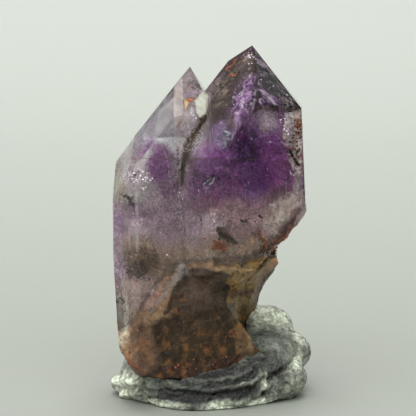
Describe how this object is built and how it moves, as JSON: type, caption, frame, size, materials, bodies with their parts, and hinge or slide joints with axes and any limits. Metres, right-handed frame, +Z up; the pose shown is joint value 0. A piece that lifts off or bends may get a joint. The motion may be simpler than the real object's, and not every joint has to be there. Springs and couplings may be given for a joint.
{
  "type": "amethyst scepter crystal",
  "caption": "Amethyst scepter crystal: a wide pointed head and a smaller crystal grown beside it on an etched, rust-stained stem, standing in a kneaded lump of grey putty.",
  "frame": {"origin": "Middle of the bottom of the whole piece, on the surface that it stands on.", "axes": "+Z up, along the crystals apart from their small lean; -Y is the front that faces the viewer; +X is the viewer's right."},
  "size_m": [0.0294, 0.0244, 0.0508],
  "materials": {
    "amethyst": "Clear quartz, purple in the middle and smoky brown at the tip and stem, with bright flat faces and rough, rust-stained etched places",
    "putty": "Grey-green kneadable putty with a soft, slightly damp sheen and fingerprints"
  },
  "bodies": {
    "root": {"amethyst_scepter": "amethyst", "mounting_putty": "putty"}
  },
  "joints": []
}
